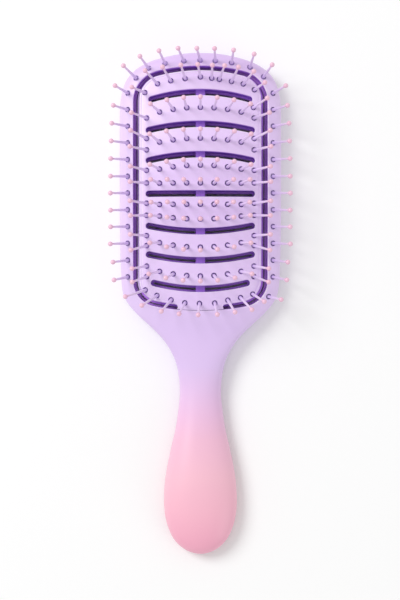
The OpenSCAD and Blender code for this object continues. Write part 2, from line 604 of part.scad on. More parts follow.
// The grille: a plate with the vents, and a rib under the edge of each strip
rib_t = 1.3;
rib_inset = 0.4;
module panel_back() {
    color(violet) {
        difference() {
            union() {
                translate([0, 0, grille_z]) linear_extrude(grille_t) polygon(panel_outline(grille_lip));
                intersection() {
                    translate([0, 0, grille_z])
                        linear_extrude(crown_z) for (r = [0 : rungs - 1]) difference() {
                            rung_shape(r, wall + rib_inset);
                            rung_shape(r, wall + rib_inset + rib_t);
                        }
                    crown(rib_drop);
                }
            }
            for (v = [0 : len(vent_shares) - 1])
                translate([0, 0, grille_z - overrun])
                    linear_extrude(grille_t + 2 * overrun) vent_shape(v, grille_vent_w);
            spine_notch();
            stakes(stake_d + bead_gap, grille_z - overrun);
        }
    }
}
module spine_notch() {
    translate([-spine_w / 2 - fit_gap, seam_y - overrun, grille_top])
        cube([spine_w + 2 * fit_gap, panel_l + end_slot_w + 2 * overrun, crown_z]);
}

module spine() {
    nose_y = leaf_high_y + 2 * seam_gap;
    color(violet) difference() {
        intersection() {
            translate([-spine_w / 2, panel_low + wall, grille_top])
                cube([spine_w, panel_l - 2 * wall - 2 * fit_gap, crown_z]);
            crown(spine_drop);
        }
        translate([-spine_w, panel_low, grille_top - overrun])
            cube([2 * spine_w, nose_y - panel_low, leaf_z + leaf_t + nose_gap - grille_top + overrun]);
    }
}
module return_leaf() {
    color("silver")
        translate([-leaf_w / 2, leaf_low_y, leaf_z]) cube([leaf_w, leaf_high_y - leaf_low_y, leaf_t]);
}

// One strip with its pins under each rung
module pin_strip(r) {
    color(shaft_lilac) {
        intersection() {
            translate([0, 0, grille_top]) linear_extrude(crown_z) rung_shape(r, wall + fit_gap);
            difference() {
                crown(strip_drop);
                crown(strip_drop + strip_t);
            }
        }
        shafts(strip_pins(r), 0, root_start);
    }
}
module strip_tips(r) {
    color(ball_pink) balls(strip_pins(r), 0, root_start);
}

frame();
back_shell();
rim_strip();
rim_tips();
panel();
panel_back();
spine();
return_leaf();
pin_strip(0);  // pin_strip_a
pin_strip(1);  // pin_strip_b
pin_strip(2);  // pin_strip_c
pin_strip(3);  // pin_strip_d
pin_strip(4);  // pin_strip_e
pin_strip(5);  // pin_strip_f
pin_strip(6);  // pin_strip_g
pin_strip(7);  // pin_strip_h
strip_tips(0);  // tips_a
strip_tips(1);  // tips_b
strip_tips(2);  // tips_c
strip_tips(3);  // tips_d
strip_tips(4);  // tips_e
strip_tips(5);  // tips_f
strip_tips(6);  // tips_g
strip_tips(7);  // tips_h
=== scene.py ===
# Looks of the vented detangling brush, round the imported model: materials, three shells on a finer grid, studio
# and camera.
import json
import math

import bmesh
import bpy
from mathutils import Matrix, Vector
from mathutils.geometry import delaunay_2d_cdt

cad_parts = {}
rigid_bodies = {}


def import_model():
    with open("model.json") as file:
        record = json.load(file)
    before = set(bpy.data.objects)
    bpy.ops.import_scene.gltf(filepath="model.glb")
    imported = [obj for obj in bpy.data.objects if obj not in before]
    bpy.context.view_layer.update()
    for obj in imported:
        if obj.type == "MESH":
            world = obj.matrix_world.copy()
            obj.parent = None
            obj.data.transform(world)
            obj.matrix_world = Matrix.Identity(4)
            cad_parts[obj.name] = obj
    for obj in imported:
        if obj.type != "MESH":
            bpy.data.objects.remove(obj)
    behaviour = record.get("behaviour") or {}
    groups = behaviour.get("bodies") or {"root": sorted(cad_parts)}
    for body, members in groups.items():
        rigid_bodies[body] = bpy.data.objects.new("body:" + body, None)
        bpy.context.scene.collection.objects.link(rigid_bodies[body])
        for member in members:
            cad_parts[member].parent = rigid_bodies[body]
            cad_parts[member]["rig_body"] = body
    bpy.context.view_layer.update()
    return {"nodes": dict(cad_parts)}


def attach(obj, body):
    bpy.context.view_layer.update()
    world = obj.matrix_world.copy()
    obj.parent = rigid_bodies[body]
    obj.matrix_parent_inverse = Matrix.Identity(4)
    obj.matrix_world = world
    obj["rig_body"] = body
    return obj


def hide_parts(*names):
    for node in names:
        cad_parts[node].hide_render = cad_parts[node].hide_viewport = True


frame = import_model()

NODES = frame["nodes"]
MM = 0.001


def srgb(r, g, b):
    """An 8-bit display colour as a linear one."""
    out = []
    for v in (r, g, b):
        v = v / 255
        out.append(v / 12.92 if v <= 0.04045 else ((v + 0.055) / 1.055) ** 2.4)
    return (*out, 1.0)


class Material:
    """A Principled material with a few helpers for its nodes."""

    def __init__(self, name, roughness, **sockets):
        self.mat = bpy.data.materials.new(name)
        self.mat.use_nodes = True
        self.tree = self.mat.node_tree
        self.tree.nodes.clear()
        self.out = self.add("ShaderNodeOutputMaterial")
        self.bsdf = self.add("ShaderNodeBsdfPrincipled")
        self.join(self.bsdf.outputs[0], self.out.inputs[0])
        self.bsdf.inputs["Roughness"].default_value = roughness
        for key, value in sockets.items():
            self.bsdf.inputs[key.replace("_", " ")].default_value = value
        self.coords = self.add("ShaderNodeTexCoord")
        self.place = self.coords.outputs["Object"]

    def add(self, kind, **settings):
        node = self.tree.nodes.new(kind)
        for key, value in settings.items():
            setattr(node, key, value)
        return node

    def join(self, a, b):
        self.tree.links.new(a, b)

    def noise(self, scale, detail):
        n = self.add("ShaderNodeTexNoise")
        n.inputs["Scale"].default_value = scale
        n.inputs["Detail"].default_value = detail
        n.inputs["Roughness"].default_value = 0.55
        self.join(self.place, n.inputs["Vector"])
        return n.outputs["Fac"]

    def remap(self, value, a, b, c, d):
        """The range from a to b as the range from c to d, and no further."""
        m = self.add("ShaderNodeMapRange")
        for i, v in zip((1, 2, 3, 4), (a, b, c, d)):
            m.inputs[i].default_value = v
        self.join(value, m.inputs[0])
        return m.outputs[0]

    def math(self, kind, a, b=None):
        m = self.add("ShaderNodeMath", operation=kind)
        for i, v in enumerate((a, b)):
            if v is None:
                continue
            if isinstance(v, (int, float)):
                m.inputs[i].default_value = v
            else:
                self.join(v, m.inputs[i])
        return m.outputs[0]

    def ramp(self, value, stops):
        r = self.add("ShaderNodeValToRGB")
        self.join(value, r.inputs[0])
        e = r.color_ramp.elements
        while len(e) < len(stops):
            e.new(0.5)
        for element, (pos, colour) in zip(e, stops):
            element.position = pos
            element.color = colour
        return r.outputs["Color"]

    def blend(self, fac, a, b, kind="MIX"):
        m = self.add("ShaderNodeMix", data_type="RGBA", blend_type=kind)
        for v, i in ((fac, 0), (a, 6), (b, 7)):
            if isinstance(v, (int, float, tuple)):
                m.inputs[i].default_value = v
            else:
                self.join(v, m.inputs[i])
        return m.outputs[2]

    def axis(self, name):
        s = self.add("ShaderNodeSeparateXYZ")
        self.join(self.place, s.inputs[0])
        return s.outputs[name]

    def soft_edges(self, radius):
        b = self.add("ShaderNodeBevel", samples=4)
        b.inputs["Radius"].default_value = radius
        return b.outputs[0]

    def edge_mask(self, soft):
        """One where the softened normal leaves the face's own."""
        g = self.add("ShaderNodeNewGeometry")
        d = self.add("ShaderNodeVectorMath", operation="DOT_PRODUCT")
        self.join(g.outputs["Normal"], d.inputs[0])
        self.join(soft, d.inputs[1])
        return self.remap(d.outputs["Value"], 0.985, 0.8, 0.0, 1.0)

    def bump(self, height, distance, normal, strength):
        b = self.add("ShaderNodeBump")
        b.inputs["Strength"].default_value = strength
        b.inputs["Distance"].default_value = distance
        self.join(height, b.inputs["Height"])
        if normal is not None:
            self.join(normal, b.inputs["Normal"])
        self.join(b.outputs[0], self.bsdf.inputs["Normal"])


# Sizes in mm. First the brush's outline: half its width at each place along it
HALF = [(0, 124), (10, 123.3), (19, 121.53), (27, 118.93), (33, 115.16), (36.8, 110.48), (39, 103.98),
        (39.9, 96.05), (40, 77.98), (40, 56.01), (39.9, 35.99), (39.4, 17.01), (38.6, 6.48), (36.4, 1.02),
        (31.5, -4.895), (25.01, -10.9), (18.99, -16.97), (15, -22.76), (12.2, -29.01), (10.7, -36.5), (10.2, -44),
        (10.9, -52.02), (12.4, -62), (14.8, -72.5), (16.9, -83), (18, -92.97), (17.89, -102), (16.3, -109.96),
        (12.91, -117), (7.3, -121.99), (0, -124)]
# The curved front: its height, its radius across and along, its middle, and the height where the shells part
CROWN_Z, RX, RY, MID, PART = 20.0, 110.0, (65 ** 2 + 5.3 ** 2) / 10.6, 59.0, 5.0
# Places along the brush: its ends, the seam under the panel, the neck and the widest part of the grip
TOP, END, SEAM, NECK, GRIP = 124.0, -124.0, -3.205, -44.0, -93.0
# How far the rounding of each end reaches, and its power
TOP_ROUND, TOP_POWER = 40.0, 6
NOSE_L, NOSE_POWER = 31.0, 2.2
# The handle's height at the neck, and how much it gains up to the grip
NECK_TOP, GRIP_RISE = 12.6, 2.9
# The panel, and the width of the slot beside it and at its ends
PANEL_W, PANEL_TOP, PANEL_LOW = 29.95, 114.5, -0.905
SIDE, ENDS = 3.05, 2.3
WINDOW_W = PANEL_W + SIDE
# The window's arched ends: their radii, and those of the panel's corners
TOP_R, LOW_R, TOP_C, LOW_C = WINDOW_W * 2.95, WINDOW_W * 3.5, PANEL_W * 0.4, PANEL_W * 0.35
TOP_ARC, LOW_ARC = PANEL_TOP + ENDS - TOP_R, SEAM + LOW_R
# The vents' width, the bridge's half width, and the line round the window on which the rim's pins stand
VENT_W, BRIDGE, LINE = 3.1, 12.25, 2.7512
RIM_W = WINDOW_W + LINE
# The pins' clearance holes, and the hinge bead: half its length, its place along, its height and its radius
HOLE_R = 1.375
BEAD_L, BEAD_Y, BEAD_Z, BEAD_R = 9.5, -5.78, 11.0, 1.7
# The stakes between grille and panel: their place across and their radius
STAKE_X, STAKE_R = 28.363, 0.8
# Rounded edges of the window and of the vents, and the share of the rounding that is left at the bridge
WINDOW_ROUND, VENT_ROUND, FAINT = 0.45, 0.4, 0.15
# How far the bridge's foot stands off the seam
FOOT_GAP = 0.15
# The skin's underside, and heights below and above all that a cutter meets
SKIN_LOW, BELOW, ABOVE = 8.0, -1.0, 30.0


def corner_y(w, r, c):
    """From the middle of an arched end to that of its corner, along the brush."""
    return math.sqrt((r - c) ** 2 - (w - c) ** 2)


# Colour of the moulded shells from the end of the handle up to the head
FADE = [(-118, (254, 181, 203)), (-102, (255, 191, 209)), (-86, (255, 198, 214)), (-67, (251, 198, 221)),
        (-55, (245, 199, 232)), (-43, (238, 203, 242)), (-31, (231, 205, 248)), (-12, (231, 206, 251)),
        (10, (238, 215, 254)), (106, (240, 217, 255)), (116, (232, 205, 249)), (124, (228, 200, 247))]


def above_crown(m):
    """Height over the brush's curved front."""
    x = m.axis("X")
    y = m.math("SUBTRACT", m.axis("Y"), MID * MM)
    fall = m.math("ADD", m.math("MULTIPLY", m.math("MULTIPLY", x, x), 1 / (2 * RX * MM)),
                  m.math("MULTIPLY", m.math("MULTIPLY", y, y), 1 / (2 * RY * MM)))
    return m.math("SUBTRACT", m.math("ADD", m.axis("Z"), fall), CROWN_Z * MM)


def inside(m, grow):
    """One inside the window's outline moved out by this many mm, nought outside it."""
    x, y = m.math("ABSOLUTE", m.axis("X")), m.axis("Y")

    def within(cx, dy, r):
        dx = m.math("SUBTRACT", x, cx * MM)
        far = m.math("SQRT", m.math("ADD", m.math("MULTIPLY", dx, dx), m.math("MULTIPLY", dy, dy)))
        return m.math("LESS_THAN", far, (r + grow) * MM)

    def over(cy, sign):
        return m.math("MAXIMUM", m.math("MULTIPLY", m.math("SUBTRACT", y, cy * MM), sign), 0.0)

    parts = []
    for arc_y, sign, radius, corner in ((TOP_ARC, 1, TOP_R, TOP_C + SIDE), (LOW_ARC, -1, LOW_R, LOW_C + ENDS)):
        cx = WINDOW_W - corner
        cy = arc_y + sign * corner_y(WINDOW_W, radius, corner)
        before = m.math("LESS_THAN", x, cx * radius / (radius - corner) * MM)
        parts.append(m.math("MULTIPLY", within(0, over(arc_y, sign), radius),
                            m.math("MAXIMUM", within(cx, over(cy, sign), corner), before)))
    return m.math("MULTIPLY", *parts)


def tilted(m):
    """The face's own direction, as X, Y and Z."""
    tilt = m.add("ShaderNodeSeparateXYZ")
    m.join(m.coords.outputs["Normal"], tilt.inputs[0])
    return [tilt.outputs[k] for k in "XYZ"]


def shell(name, gloss=0.36, painted_edge_light=False):
    m = Material(name, gloss, Coat_Weight=0.15, Coat_Roughness=0.3)
    low, high = FADE[0][0] * MM, FADE[-1][0] * MM
    along = m.remap(m.axis("Y"), low, high, 0.0, 1.0)
    stops = [((y * MM - low) / (high - low), srgb(*c)) for y, c in FADE]
    colour = m.ramp(along, stops)
    cloud = m.remap(m.noise(26, 4), 0.3, 0.7, 0.0, 1.0)
    colour = m.blend(cloud, colour, m.blend(1.0, colour, (0.975, 0.965, 0.985, 1), "MULTIPLY"))
    soft = m.soft_edges(0.4 * MM)
    # Painted highlight: edges a little paler, where the softened normal leaves the face's own
    colour = m.blend(m.math("MULTIPLY", m.edge_mask(soft), 0.3), colour, (0.97, 0.93, 1.0, 1))
    nx, ny, nz = tilted(m)
    if painted_edge_light:
        # Edges of the panel: pale where they face the key light, deeper where they face away
        edge = m.math("MULTIPLY", m.remap(nz, 0.94, 0.86, 0.0, 1.0), m.remap(nz, 0.2, 0.45, 0.0, 1.0))
        side = m.math("SUBTRACT", m.math("MULTIPLY", ny, 0.8), m.math("MULTIPLY", nx, 0.6))
        pale = m.math("MULTIPLY", edge, m.remap(side, 0.05, 0.35, 0.0, 1.0))
        dark = m.math("MULTIPLY", edge, m.remap(side, -0.05, -0.35, 0.0, 0.3))
        colour = m.blend(pale, colour, srgb(255, 250, 255))
        colour = m.blend(dark, colour, srgb(196, 150, 240))
        depth_shade_tones = (208, 168, 240), (182, 130, 230), (172, 114, 224)
    else:
        # Painted highlight: a pale line round the window, stronger on the right, where its edge faces the key
        # light. Painted shade: deeper walls in the pins' holes, less so towards the top
        window_highlight_mask = m.math("MULTIPLY", m.remap(m.axis("X"), 20 * MM, 31 * MM, 0.1, 0.9), inside(m, 0.6))
        colour = m.blend(window_highlight_mask, colour, srgb(255, 244, 255))
        hole_shade_mask = m.math("MULTIPLY", m.math("LESS_THAN", nz, 0.5), m.math("GREATER_THAN", m.axis("Z"), 7 * MM))
        hole_shade_mask = m.math("MULTIPLY", hole_shade_mask, inside(m, 5))
        hole_shade_mask = m.math("MULTIPLY", hole_shade_mask, m.remap(m.axis("Y"), 104 * MM, 114 * MM, 1.0, 0.2))
        colour = m.blend(hole_shade_mask, colour, srgb(144, 98, 190))
        depth_shade_tones = (238, 210, 255), (224, 174, 255), (218, 160, 255)
    # Painted shade: inside the window and the vents the walls turn a deeper violet the further they sink below
    # the front
    deep = m.remap(above_crown(m), -0.5 * MM, -6 * MM, 0.0, 1.0)
    depth_shade = m.ramp(deep, [(at, srgb(*tone)) for at, tone in zip((0.0, 0.3, 1.0), depth_shade_tones)])
    within = m.math("MULTIPLY", m.remap(deep, 0.0, 0.1, 0.0, 1.0), inside(m, 0.35))
    colour = m.blend(within, colour, depth_shade)
    m.join(colour, m.bsdf.inputs["Base Color"])
    m.join(m.remap(m.noise(900, 2), 0.3, 0.7, gloss - 0.05, gloss + 0.05), m.bsdf.inputs["Roughness"])
    m.bump(m.noise(2600, 2), 0.012 * MM, soft, 0.35)
    return m.mat


def grille(name, a, b, painted_light_lip=None):
    m = Material(name, 0.5)
    cloud = m.remap(m.noise(60, 4), 0.3, 0.7, 0.0, 1.0)
    streak = m.add("ShaderNodeMapping")
    streak.inputs["Scale"].default_value = (1, 0.04, 0.2)
    m.join(m.place, streak.inputs[0])
    grain = m.add("ShaderNodeTexNoise")
    grain.inputs["Scale"].default_value = 1600
    m.join(streak.outputs[0], grain.inputs["Vector"])
    cloud = m.math("ADD", m.math("MULTIPLY", cloud, 0.5),
                   m.math("MULTIPLY", m.remap(grain.outputs["Fac"], 0.35, 0.65, 0.0, 1.0), 0.5))
    colour = m.blend(cloud, srgb(*a), srgb(*b))
    # Painted light: the lip on the left side, which the key light reaches, and the steep walls are paler
    if painted_light_lip:
        colour = m.blend(m.math("LESS_THAN", m.axis("X"), -29.4 * MM), colour, srgb(*painted_light_lip))
        colour = m.blend(m.math("LESS_THAN", tilted(m)[2], 0.4), colour, srgb(*painted_light_lip))
    m.join(colour, m.bsdf.inputs["Base Color"])
    m.join(m.remap(m.noise(700, 3), 0.3, 0.7, 0.44, 0.56), m.bsdf.inputs["Roughness"])
    m.bump(m.noise(1800, 3), 0.02 * MM, m.soft_edges(0.35 * MM), 0.4)
    return m.mat


def shaft(name):
    m = Material(name, 0.34)
    rise = m.remap(above_crown(m), -1 * MM, 16 * MM, 0.0, 1.0)
    colour = m.ramp(rise, [(0.0, srgb(222, 200, 248)), (0.3, srgb(238, 220, 252)), (0.8, srgb(243, 224, 248)),
                           (0.97, srgb(252, 208, 220))])
    cloud = m.remap(m.noise(300, 3), 0.3, 0.7, 0.0, 0.5)
    colour = m.blend(cloud, colour, m.blend(1.0, colour, (0.95, 0.94, 0.98, 1), "MULTIPLY"))
    m.join(colour, m.bsdf.inputs["Base Color"])
    m.join(m.remap(m.noise(1500, 2), 0.3, 0.7, 0.3, 0.4), m.bsdf.inputs["Roughness"])
    m.bump(m.noise(4000, 2), 0.008 * MM, None, 0.3)
    return m.mat


def ball(name):
    m = Material(name, 0.3, Coat_Weight=0.5, Coat_Roughness=0.15)
    cloud = m.remap(m.noise(420, 3), 0.3, 0.7, 0.0, 1.0)
    colour = m.blend(cloud, srgb(243, 193, 217), srgb(247, 203, 224))
    m.join(colour, m.bsdf.inputs["Base Color"])
    m.join(m.remap(m.noise(2500, 2), 0.3, 0.7, 0.26, 0.36), m.bsdf.inputs["Roughness"])
    m.bump(m.noise(3000, 2), 0.01 * MM, None, 0.25)
    return m.mat


def leaf_steel(name):
    m = Material(name, 0.3, Metallic=1.0)
    stretch = m.add("ShaderNodeMapping")
    stretch.inputs["Scale"].default_value = (1, 0.03, 1)
    m.join(m.place, stretch.inputs[0])
    m.place = stretch.outputs[0]
    grain = m.noise(9000, 2)
    m.join(m.ramp(grain, [(0.3, srgb(150, 150, 154)), (0.7, srgb(205, 205, 210))]), m.bsdf.inputs["Base Color"])
    m.join(m.remap(grain, 0.3, 0.7, 0.22, 0.42), m.bsdf.inputs["Roughness"])
    m.bump(grain, 0.01 * MM, None, 0.3)
    return m.mat


SHELL = shell("shell_plastic_look")
PANEL = shell("panel_plastic_look", 0.4, True)
# Painted shade: the grille and the spine, seen only deep in the vents, are a deeper violet than the shells' lilac
GRILLE = grille("grille_plastic_look", (204, 142, 247), (212, 154, 250), (250, 234, 254))
SPINE = grille("spine_plastic_look", (192, 134, 242), (204, 152, 248))
SHAFT = shaft("pin_plastic_look")
BALL = ball("tip_plastic_look")
LEAF = leaf_steel("leaf_steel_look")

for name, obj in NODES.items():
    if name.startswith("tips_") or name == "rim_tips":
        look = BALL
    elif name.startswith("pin_strip_") or name == "rim_strip":
        look = SHAFT
    elif name == "panel_back":
        look = GRILLE
    elif name == "spine":
        look = SPINE
    elif name == "return_leaf":
        look = LEAF
    elif name == "panel":
        look = PANEL
    else:
        look = SHELL
    if not obj.material_slots:
        obj.data.materials.append(look)
    for slot in obj.material_slots:
        slot.material = look


# The shells: the CAD model's forms, on a finer grid
def spline(a, b, c, d, t):
    return (2 * b + (c - a) * t + (2 * a - 5 * b + 4 * c - d) * t * t + (3 * b - a - 3 * c + d) * t ** 3) / 2


def fine_outline(steps):
    """The outline HALF as a smooth curve, with this many points to a side of it."""
    pts = [(-HALF[1][0], HALF[1][1])] + HALF + [(-HALF[-2][0], HALF[-2][1])]
    out = []
    for i in range(1, len(pts) - 2):
        for k in range(steps):
            out.append(tuple(spline(*(p[j] for p in pts[i - 1:i + 3]), k / steps) for j in (0, 1)))
    return out[1:]


def crown_at(x, y):
    """Height of the curved front."""
    return CROWN_Z - RY + math.sqrt((RY - RX + math.sqrt(RX * RX - x * x)) ** 2 - (y - MID) ** 2)


def ease(t):
    t = min(1.0, max(0.0, t))
    return t * t * (3 - 2 * t)


def handle_top(y):
    if y > NECK:
        u = (SEAM - y) / (SEAM - NECK)
        rise = (MID - SEAM) / math.sqrt(RY * RY - (MID - SEAM) ** 2)
        return (crown_at(0, SEAM) * (1 + 2 * u) * (1 - u) ** 2 - rise * (SEAM - NECK) * u * (1 - u) ** 2
                + NECK_TOP * u * u * (3 - 2 * u))
    return NECK_TOP + GRIP_RISE * ease((NECK - y) / (NECK - GRIP))


def front_at(x, y):
    return crown_at(x, y) if y >= SEAM else handle_top(y) - RX + math.sqrt(RX * RX - x * x)


def back_depth(y):
    if y > NECK:
        return PART + 0.9 - 1.9 * ease((SEAM - y) / (SEAM - NECK))
    return PART - 1 + ease((NECK - y) / (NECK - GRIP))


def bulge(u, p):
    return max(0.0, 1 - min(1.0, abs(u)) ** p) ** (1 / p)


def power_at(y):
    return 6 - 3.8 * ease((-3.7 - y) / (-3.7 - NECK))


def end_bulge(y):
    top = bulge(max(0.0, 1 - (TOP - y) / TOP_ROUND), TOP_POWER)
    return top * bulge(max(0.0, 1 - (y - END) / NOSE_L), NOSE_POWER)


def half_shell(name, front):
    """The front or the rear half of the body, without its openings."""
    across = 96
    rows = fine_outline(8)
    verts, faces = [], []
    for w, y in rows:
        for j in range(across + 1):
            u = math.sin(math.radians(-90 + 180 * j / across))
            s = bulge(u, power_at(y)) * end_bulge(y)
            x = w * u
            z = PART + (front_at(x, y) - PART) * s if front else max(0.0, PART - back_depth(y) * s)
            verts.append((x * MM, y * MM, z * MM))
    n = across + 1
    top, tail = len(verts), len(verts) + 1
    verts += [(0, TOP * MM, PART * MM), (0, END * MM, PART * MM)]
    for i in range(len(rows) - 1):
        for j in range(across):
            a, b = i * n + j, (i + 1) * n + j
            faces.append((a, b, b + 1, a + 1))
        faces.append((i * n, i * n + across, (i + 1) * n + across, (i + 1) * n))
    last = (len(rows) - 1) * n
    for j in range(across):
        faces.append((top, j, j + 1))
        faces.append((tail, last + j + 1, last + j))
    faces.append((top, across, 0))
    faces.append((tail, last, last + across))
    if not front:
        faces = [tuple(reversed(f)) for f in faces]
    mesh = bpy.data.meshes.new(name)
    mesh.from_pydata(verts, [], faces)
    mesh.update()
    return mesh


def arc(cx, cy, r, a, b, n=24):
    turns = [math.radians(a + (b - a) * k / n) for k in range(n + 1)]
    return [(cx + r * math.cos(t), cy + r * math.sin(t)) for t in turns]


def arched(w, low, high, top_r, low_r, top_c, low_c):
    """An anticlockwise outline with straight sides, arched ends and round corners."""
    ty, ly = corner_y(w, top_r, top_c), corner_y(w, low_r, low_c)
    ta, la = (math.degrees(math.atan2(v, w - c)) for v, c in ((ty, top_c), (ly, low_c)))
    tc, lc = high - top_r, low + low_r
    pts = (arc(w - top_c, tc + ty, top_c, 0, ta) + arc(0, tc, top_r, ta, 180 - ta)
           + arc(top_c - w, tc + ty, top_c, 180 - ta, 180) + arc(low_c - w, lc - ly, low_c, 180, 180 + la)
           + arc(0, lc, low_r, 180 + la, 360 - la) + arc(w - low_c, lc - ly, low_c, 360 - la, 360))
    out = []
    for p in pts:
        if not out or math.dist(p, out[-1]) > 1e-6:
            out.append(p)
    return out[:-1] if math.dist(out[0], out[-1]) < 1e-6 else out


PANEL_EDGE = arched(PANEL_W, PANEL_LOW, PANEL_TOP, PANEL_W * 2.95, PANEL_W * 3.5, TOP_C, LOW_C)
WINDOW = arched(WINDOW_W, SEAM, PANEL_TOP + ENDS, TOP_R, LOW_R, TOP_C + SIDE, LOW_C + ENDS)
BACK_WINDOW = arched(WINDOW_W - 1.3, SEAM + 0.9, PANEL_TOP + ENDS - 0.9, TOP_R, LOW_R,
                     TOP_C + SIDE - 1.3, LOW_C + ENDS - 0.9)


def place(share):
    """Place along the brush of a share of the panel's length."""
    return PANEL_LOW + share * (PANEL_TOP - PANEL_LOW)


def rim_top_y(x):
    x = abs(x)
    r, c = TOP_R + LINE, TOP_C + SIDE + LINE
    base = PANEL_TOP + ENDS + LINE - r
    if x < (RIM_W - c) * r / (r - c):
        return base + math.sqrt(r * r - x * x)
    return base + corner_y(RIM_W, r, c) + math.sqrt(c * c - (x - RIM_W + c) ** 2)


def rim_low_y(x):
    r, c = LOW_R + LINE, LOW_C + ENDS + LINE
    return SEAM - LINE + r - corner_y(RIM_W, r, c) - math.sqrt(c * c - (x - RIM_W + c) ** 2)


# Each pin: its root across and along, and its lean across and along. First the rim's
RIM_PINS = [(k * RIM_W, rim_top_y(k * RIM_W), a, b) for k, a, b in (
    (-0.884, -0.38, 0.27), (-0.712, -0.24, 0.23), (-0.484, -0.17, 0.25), (-0.226, -0.17, 0.24),
    (-0.004, -0.1, 0.21), (0.204, -0.03, 0.22), (0.428, 0.04, 0.24), (0.68, 0.1, 0.26), (0.869, 0.23, 0.24))]
for k, (a, b) in enumerate((
        (0.36, 0.11), (0.42, 0.02), (0.48, -0.01), (0.5, -0.035), (0.52, -0.055), (0.525, -0.075),
        (0.535, -0.07), (0.525, -0.07), (0.525, -0.055), (0.54, -0.055), (0.435, -0.09), (0.4, -0.115))):
    RIM_PINS += [(s * RIM_W, place(0.908 - 0.784 * k / 11), s * a, b) for s in (-1, 1)]
RIM_PINS += [(0.94 * RIM_W, rim_low_y(0.94 * RIM_W), 0.36, -0.1)]

# The panel's pins: those at its ends, then the rows between the vents, then those at its sides
PANEL_PINS = [(k * PANEL_W, place(h), a, b) for k, h, a, b in (
    (-0.911, 0.9069, -0.38, 0.04), (-0.702, 0.9432, -0.38, 0.29), (-0.485, 0.9551, -0.24, 0.29),
    (-0.25, 0.9634, -0.12, 0.27), (0, 0.9704, -0.08, 0.23), (0.185, 0.965, 0.01, 0.25),
    (0.31, 0.9605, 0.15, 0.28), (0.508, 0.9523, 0.2, 0.31), (0.702, 0.9427, 0.31, 0.26),
    (0.884, 0.9188, 0.29, 0.09), (0.868, 0.8423, 0.41, 0.18),
    (-0.905, 0.0676, -0.7, -0.25), (-0.714, 0.0439, -0.49, -0.34), (-0.481, 0.0252, -0.3, -0.37),
    (-0.255, 0.0124, -0.17, -0.34), (-0.015, 0.0099, -0.04, -0.35), (0.235, 0.0116, 0.07, -0.35),
    (0.45, 0.0239, 0.21, -0.38), (0.66, 0.0345, 0.35, -0.4), (0.86, 0.05, 0.33, -0.24))]
for h, arch, out, mid, end in (
        (0.8401, 0.0718, 0.26, 0.19, -0.06), (0.7088, 0.0601, 0.28, 0.17, -0.02),
        (0.5945, 0.0618, 0.27, 0.09, -0.03),
        (0.519, 0, 0.24, 0.03, 0.01), (0.429, 0, 0.23, 0.01, 0), (0.3666, -0.0518, 0.25, -0.04, 0.01),
        (0.2483, -0.0751, 0.27, -0.12, 0.08), (0.1265, -0.0768, 0.31, -0.165, 0.07)):
    PANEL_PINS += [(6.65 * k, place(h) - arch * PANEL_W * (k / 3) ** 2, out * k / 3, mid + end * (k / 3) ** 2)
                   for k in range(-3, 4)]
for h, a, b in ((0.7972, 0.46, 0.06), (0.7097, 0.5, 0.17), (0.6612, 0.52, 0.02), (0.5745, 0.5, 0.05),
                (0.5208, 0.51, -0.03), (0.435, 0.51, 0.02), (0.3839, 0.5, -0.06), (0.2981, 0.5, 0),
                (0.2556, 0.49, -0.18), (0.169, 0.44, -0.1), (0.1243, 0.44, -0.19)):
    PANEL_PINS += [(s * 0.88 * PANEL_W, place(h), s * a, b) for s in (-1, 1)]


def holes(pins, sink, start):
    """Cutters for clearance holes, each along its pin's lean."""
    out = []
    for x, y, a, b in pins:
        d = Vector((a, b, 1)).normalized()
        root = Vector((x, y, crown_at(x, y) - sink))
        out.append((root - (start + 0.15) * d, root + 2 * HOLE_R * d, HOLE_R, HOLE_R))
    return rods(out)


def half_width(y):
    for (w0, y0), (w1, y1) in zip(HALF, HALF[1:]):
        if y0 >= y >= y1:
            return w0 + (w1 - w0) * (y0 - y) / (y0 - y1)
    return 0.01


def rim_at(x, y):
    """Height of the front moulding's rounded face."""
    s = bulge(x / half_width(y), power_at(y)) * end_bulge(y)
    return PART + (front_at(x, y) - PART) * s


def even(points, step):
    """A closed outline with no side longer than a step."""
    out = []
    for (x0, y0), (x1, y1) in zip(points, points[1:] + points[:1]):
        n = max(1, math.ceil(math.dist((x0, y0), (x1, y1)) / step))
        out += [(x0 + (x1 - x0) * k / n, y0 + (y1 - y0) * k / n) for k in range(n)]
    return out


def grown(points, o, shares):
    """An anticlockwise outline moved out by an offset, by a share of it at each point."""
    n = len(points)
    out = []
    for k, (x, y) in enumerate(points):
        (x0, y0), (x1, y1) = points[k - 1], points[(k + 1) % n]
        d = math.dist((x0, y0), (x1, y1)) / (o * shares[k]) if o * shares[k] else math.inf
        out.append((x + (y1 - y0) / d, y - (x1 - x0) / d))
    return out


# A rounded edge: how far in from the outline, and how far down
ROUND = [(0.0, 1.0), (0.076, 0.617), (0.293, 0.293), (0.617, 0.076), (1.0, 0.0)]


def flared(points, shares, height, base, rounding):
    """Cutter for an opening with a rounded mouth in a curved face."""
    rings = [[(x, y, base) for x, y in points]]
    for spread, drop in ROUND + [(1.2, -0.1)]:
        rings.append([(x, y, height(x, y) - rounding * drop * f)
                      for (x, y), f in zip(grown(points, spread * rounding, shares), shares)])
    rings.append([(x, y, ABOVE) for x, y in grown(points, 1.2 * rounding, shares)])
    n = len(points)
    verts = [tuple(v * MM for v in p) for ring in rings for p in ring]
    faces = [(r * n + k, r * n + (k + 1) % n, (r + 1) * n + (k + 1) % n, (r + 1) * n + k)
             for r in range(len(rings) - 1) for k in range(n)]
    faces += [tuple(reversed(range(n))), tuple(range((len(rings) - 1) * n, len(rings) * n))]
    return verts, faces


